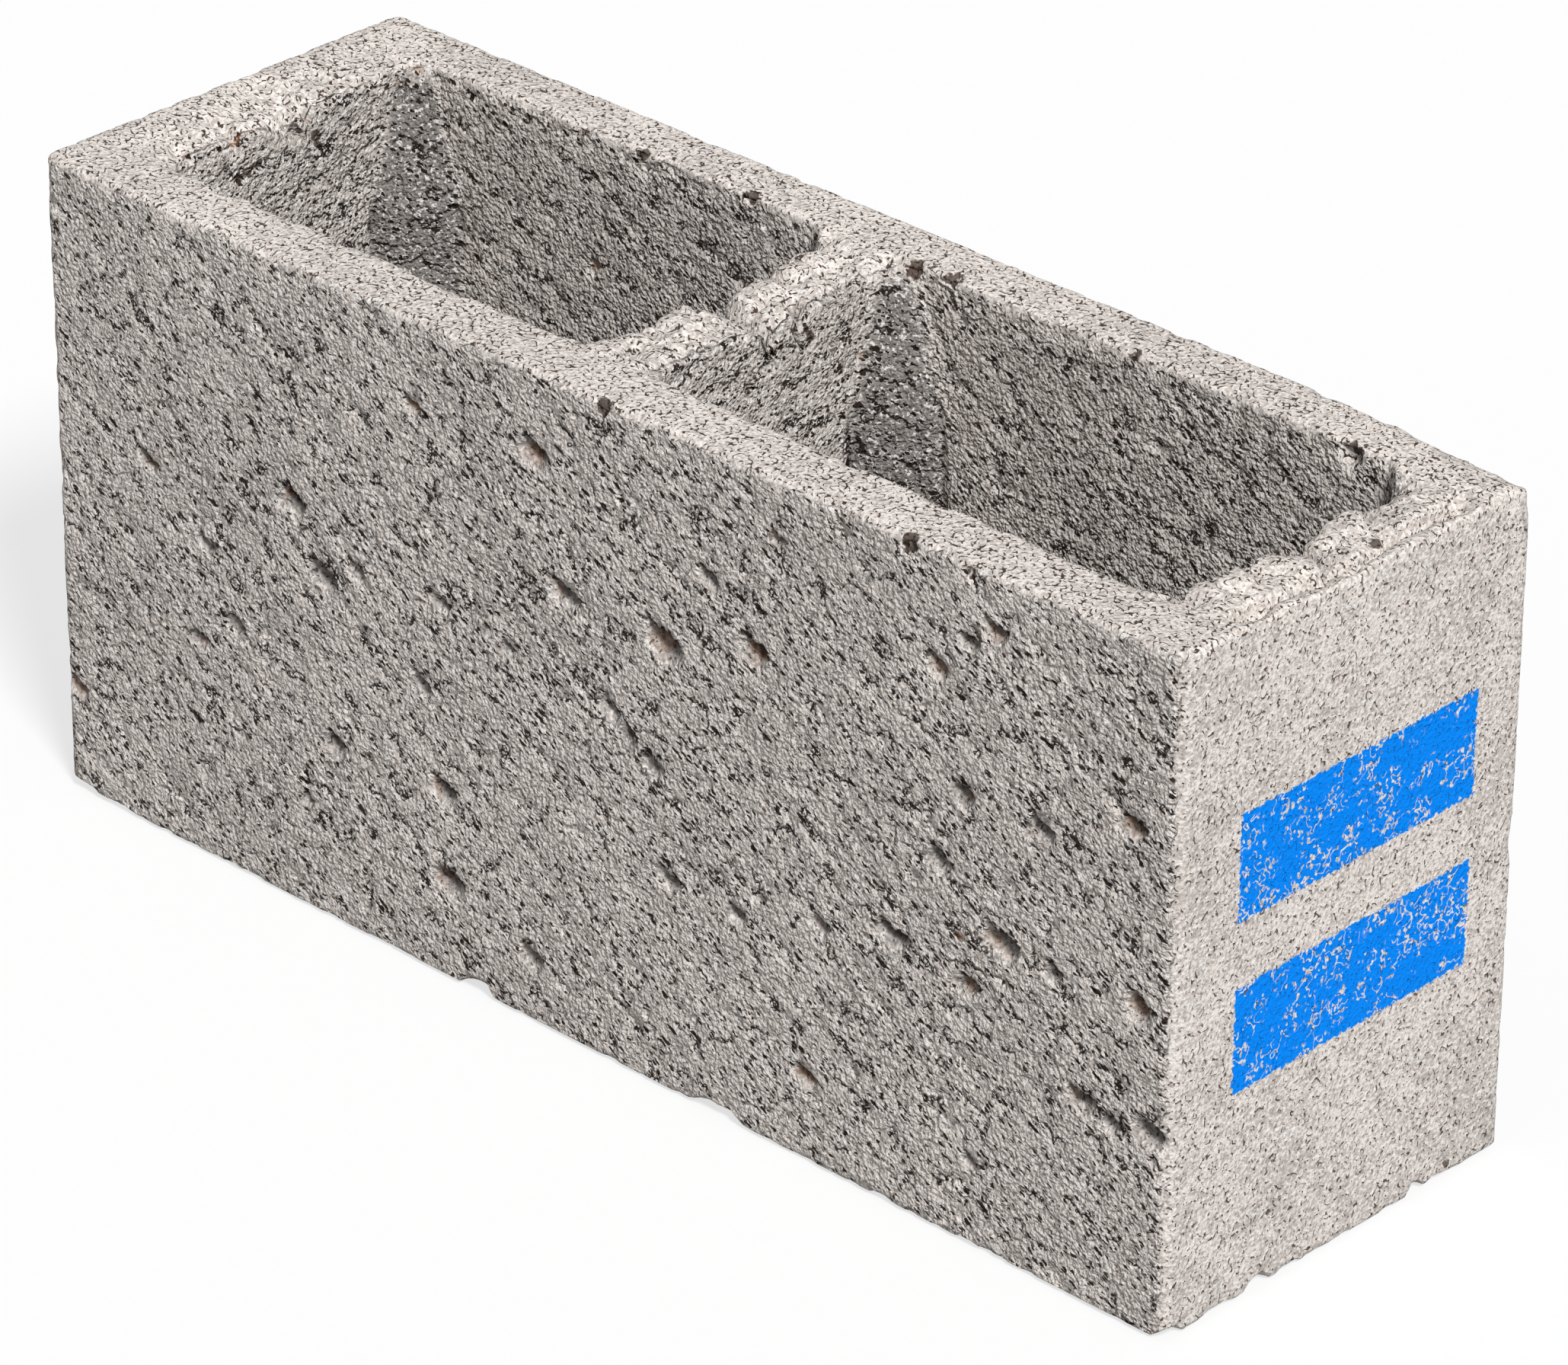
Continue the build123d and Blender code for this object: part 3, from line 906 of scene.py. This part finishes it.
    # rust in the hollows and on some pit floors, the pits' painted shadow and nearly black edges, and
    # painted shade in the small holes
    patches = noiseAt(tree, coords, 14.0, 1.0)
    deep = maths(tree, "SUBTRACT", remap(tree, mark["hollow"], 1.0, 2.4), mark["crease"])
    rust = product(tree, remap(tree, patches, 0.62, 0.67), deep, openFace, 0.5)
    colour = mixColour(tree, rust, colour, concrete["rust"])
    rust = product(tree, pitFloor, shadow, remap(tree, patches, 0.50, 0.58), 0.9)
    colour = mixColour(tree, rust, colour, concrete["rust"])
    # painted shadow: the shade that gathers towards each front pit's edge, and the edge itself, nearly
    # black
    gap = product(tree, maths(tree, "MAXIMUM", shadow, pitEdge), openFace, 0.95)
    colour = mixColour(tree, gap, colour, concrete["crevice"])
    # painted shade, dark brown, in the small holes
    away = newNode(tree, "ShaderNodeVectorMath", operation="LENGTH")
    tree.links.new(mark["hole"], away.inputs[0])
    crook = maths(tree, "ADD", wobble, fineWobble)
    away = maths(tree, "MULTIPLY_ADD", crook, 1.1, away.outputs["Value"])
    holeShade = maths(tree, "MULTIPLY", remap(tree, away, 0.95, 0.75), mark["holeNear"])
    colour = mixColour(tree, maths(tree, "MULTIPLY", holeShade, 0.88), colour, concrete["holeShade"])

    # painted bars on the near end face
    fromMiddle = maths(tree, "MULTIPLY_ADD", place.outputs["Y"], 1000.0, -bars["centreY"])
    edge = maths(tree, "SUBTRACT", bars["halfWidth"], maths(tree, "ABSOLUTE", fromMiddle))
    across = None
    for height in bars["heights"]:
        offset = maths(tree, "MULTIPLY_ADD", place.outputs["Z"], 1000.0, -height)
        inside = maths(tree, "SUBTRACT", bars["halfHeight"], maths(tree, "ABSOLUTE", offset))
        across = inside if across is None else maths(tree, "MAXIMUM", across, inside)
    worn = newNode(tree, "ShaderNodeGroup", (200, -600), node_tree=paint)
    tree.links.new(coords, worn.inputs["Vector"])
    tree.links.new(maths(tree, "MINIMUM", edge, across), worn.inputs["Edge"])
    onEnd = remap(tree, place.outputs["X"], 0.1970, 0.1984)
    painted = product(tree, worn.outputs["Mask"], onEnd)
    colour = mixColour(tree, painted, colour, concrete["paint"])
    tree.links.new(colour, shader.inputs["Base Color"])
    rough = remap(tree, painted, 0.0, 1.0, concrete["roughness"], concrete["paintRoughness"])
    tree.links.new(rough, shader.inputs["Roughness"])

    bump = newNode(tree, "ShaderNodeBump", (1000, -400))
    bump.inputs["Strength"].default_value = 1.0
    bump.inputs["Distance"].default_value = concrete["bumpDistance"]
    tree.links.new(cast.outputs["Height"], bump.inputs["Height"])
    tree.links.new(bump.outputs[0], shader.inputs["Normal"])
    return material


# Floor, light and camera
studio = {
    "sky": 0.42, "sunStrength": 3.3, "sunFrom": (0.64, -0.33, 0.76), "sunAngle": 12,
    "floorBounce": 0.34, "floorSeen": 0.87, "floorGlow": 0.70,
}


def buildStudio():
    bpy.ops.mesh.primitive_plane_add(size=8, location=(0, 0, -0.0002))
    floor = bpy.context.object
    floor.name = "floor"
    material = bpy.data.materials.new("paleFloor")
    material.use_nodes = True
    tree = material.node_tree
    tree.nodes.clear()
    out = newNode(tree, "ShaderNodeOutputMaterial", (600, 0))
    seen = newNode(tree, "ShaderNodeLightPath", (-400, 200)).outputs["Is Camera Ray"]
    paint = newNode(tree, "ShaderNodeBsdfDiffuse", (0, 0))
    grey = mixColour(tree, seen, (studio["floorBounce"],) * 3, (studio["floorSeen"],) * 3)
    tree.links.new(grey, paint.inputs["Color"])
    glow = newNode(tree, "ShaderNodeEmission", (0, -200))
    glow.inputs["Strength"].default_value = 1.0
    mixed = newNode(tree, "ShaderNodeMixShader", (300, 0))
    tree.links.new(maths(tree, "MULTIPLY", seen, studio["floorGlow"]), mixed.inputs[0])
    tree.links.new(paint.outputs[0], mixed.inputs[1])
    tree.links.new(glow.outputs[0], mixed.inputs[2])
    tree.links.new(mixed.outputs[0], out.inputs["Surface"])
    floor.data.materials.append(material)

    world = bpy.data.worlds.new("studio")
    bpy.context.scene.world = world
    world.use_nodes = True
    tree = world.node_tree
    tree.nodes.clear()
    out = newNode(tree, "ShaderNodeOutputWorld", (600, 0))
    back = newNode(tree, "ShaderNodeBackground", (300, 0))
    path = newNode(tree, "ShaderNodeLightPath", (-400, 0))
    shown = maths(tree, "MAXIMUM", path.outputs["Is Camera Ray"], path.outputs["Is Glossy Ray"])
    shown = maths(tree, "MAXIMUM", shown, path.outputs["Is Transmission Ray"])
    strength = remap(tree, shown, 0.0, 1.0, studio["sky"], 1.0, smooth=False)
    tree.links.new(strength, back.inputs["Strength"])
    tree.links.new(back.outputs[0], out.inputs["Surface"])

    sun = bpy.data.objects.new("softSun", bpy.data.lights.new("softSun", "SUN"))
    sun.data.energy = studio["sunStrength"]
    sun.data.angle = math.radians(studio["sunAngle"])
    sun.rotation_mode = "QUATERNION"
    sun.rotation_quaternion = Vector(studio["sunFrom"]).to_track_quat("Z", "Y")
    bpy.context.collection.objects.link(sun)


viewpoint = {
    "azimuth": 43.737, "elevation": 28.532, "distance": 2.02534, "roll": 0.2933,
    "targetHeight": 0.095, "right": 0.0067407, "up": -0.011041,
    "focalPixels": 10308.7, "imageWidth": 2059, "sensor": 36.0,
}


def buildCamera():
    v = viewpoint
    a, e, r = (math.radians(v[k]) for k in ("azimuth", "elevation", "roll"))
    back = Vector((math.sin(a) * math.cos(e), -math.cos(a) * math.cos(e), math.sin(e)))
    side = Vector((math.cos(a), math.sin(a), 0))
    up = back.cross(side)
    side, up = side * math.cos(r) + up * math.sin(r), up * math.cos(r) - side * math.sin(r)
    target = Vector((0, 0, v["targetHeight"])) + side * v["right"] + up * v["up"]
    camera = bpy.data.objects.new("camera", bpy.data.cameras.new("camera"))
    camera.data.sensor_width = v["sensor"]
    camera.data.lens = v["focalPixels"] / v["imageWidth"] * v["sensor"]
    camera.data.clip_end = 50
    place = Matrix((side, up, back)).transposed().to_4x4()
    place.translation = target + back * v["distance"]
    camera.matrix_world = place
    bpy.context.collection.objects.link(camera)
    bpy.context.scene.camera = camera


bpy.context.scene.view_settings.view_transform = "Standard"
buildCamera()
buildStudio()
print("camera, light and floor are in place")

mesh, plain = buildSkin()
markSkin(mesh, plain)
bpy.data.meshes.remove(plain)
for face in mesh.polygons:
    face.use_smooth = True
castConcrete = concreteMaterial(gritGroup(), speckleGroup(), paintGroup())
mesh.materials.clear()
mesh.materials.append(castConcrete)
castBlock = bpy.data.objects.new("cast_block", mesh)
bpy.context.collection.objects.link(castBlock)
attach(castBlock, "root")
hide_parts("block_body")
print("block skin is in place")
